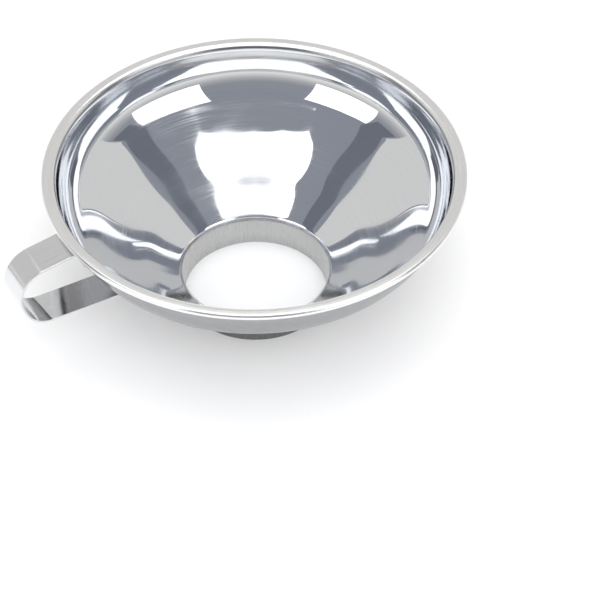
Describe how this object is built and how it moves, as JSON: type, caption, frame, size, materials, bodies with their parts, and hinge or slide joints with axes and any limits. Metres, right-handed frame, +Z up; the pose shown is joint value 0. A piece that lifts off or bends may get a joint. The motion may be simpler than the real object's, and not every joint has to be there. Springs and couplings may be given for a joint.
{
  "type": "canning funnel",
  "caption": "Wide-mouth canning funnel: open cone that rounds up into a curled lip, a short round neck for a jar's mouth, and a bent strap handle at one side.",
  "frame": {"origin": "on the funnel's axis, at the neck's bottom edge, which the funnel stands on", "axes": "+Z up along the axis, towards the open lip; the handle points along -X; +Y completes the right-handed frame"},
  "size_m": [0.1619, 0.143, 0.055],
  "materials": {
    "polished_steel": "mirror polished stainless steel with faint turning lines",
    "satin_steel": "satin stainless steel with upright grain inside the neck",
    "strap_steel": "bright rolled stainless steel strip",
    "weld_metal": "weld metal, brushed over"
  },
  "bodies": {
    "root": {"bowl": "polished_steel", "neck": "satin_steel", "neck_weld": "weld_metal", "handle_strap": "strap_steel", "upper_spot_welds": "weld_metal", "lower_spot_welds": "weld_metal"}
  },
  "joints": []
}
